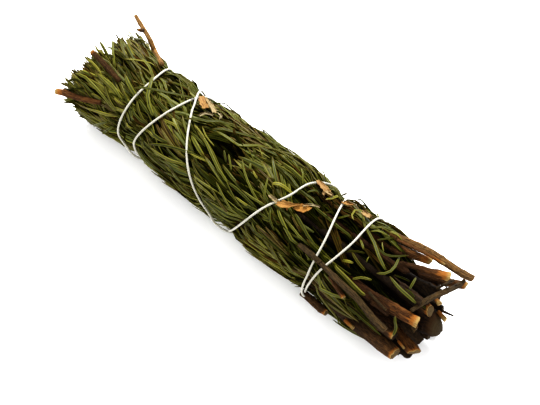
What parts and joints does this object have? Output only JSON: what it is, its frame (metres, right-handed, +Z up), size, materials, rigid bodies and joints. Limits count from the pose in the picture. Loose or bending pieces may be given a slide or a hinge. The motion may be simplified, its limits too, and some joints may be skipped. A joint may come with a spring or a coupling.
{
  "type": "rosemary smudge stick",
  "caption": "Dried rosemary smudge stick: leafy sprigs laid side by side and bound criss-cross with white cotton string.",
  "frame": {"origin": "middle of the bundle's bounding box, on the surface it lies on", "axes": "+X along the bundle towards the cut stem ends, +Z up, +Y to its left seen from the leafy tips"},
  "size_m": [0.1672, 0.0432, 0.0366],
  "materials": {
    "leaf": "dry, matt",
    "wood": "dry bark",
    "bark": "torn bark",
    "string": "twisted cotton"
  },
  "bodies": {
    "root": {"leaves_01": "leaf", "stem_01": "wood", "leaves_02": "leaf", "stem_02": "wood", "leaves_03": "leaf", "stem_03": "wood", "leaves_04": "leaf", "stem_04": "wood", "leaves_05": "leaf", "stem_05": "wood", "leaves_06": "leaf", "stem_06": "wood", "leaves_07": "leaf", "stem_07": "wood", "leaves_08": "leaf", "stem_08": "wood", "leaves_09": "leaf", "stem_09": "wood", "leaves_10": "leaf", "stem_10": "wood", "leaves_11": "leaf", "stem_11": "wood", "leaves_12": "leaf", "stem_12": "wood", "leaves_13": "leaf", "stem_13": "wood", "leaves_14": "leaf", "stem_14": "wood", "leaves_15": "leaf", "stem_15": "wood", "leaves_16": "leaf", "stem_16": "wood", "leaves_17": "leaf", "stem_17": "wood", "leaves_18": "leaf", "stem_18": "wood", "leaves_19": "leaf", "stem_19": "wood", "side_twig_1": "wood", "side_twig_2": "wood", "side_twig_3": "wood", "side_twig_4": "wood", "side_twig_5": "wood", "side_twig_6": "wood", "bark_flake_1": "bark", "bark_flake_2": "bark", "bark_flake_3": "bark", "string": "string"}
  },
  "joints": []
}
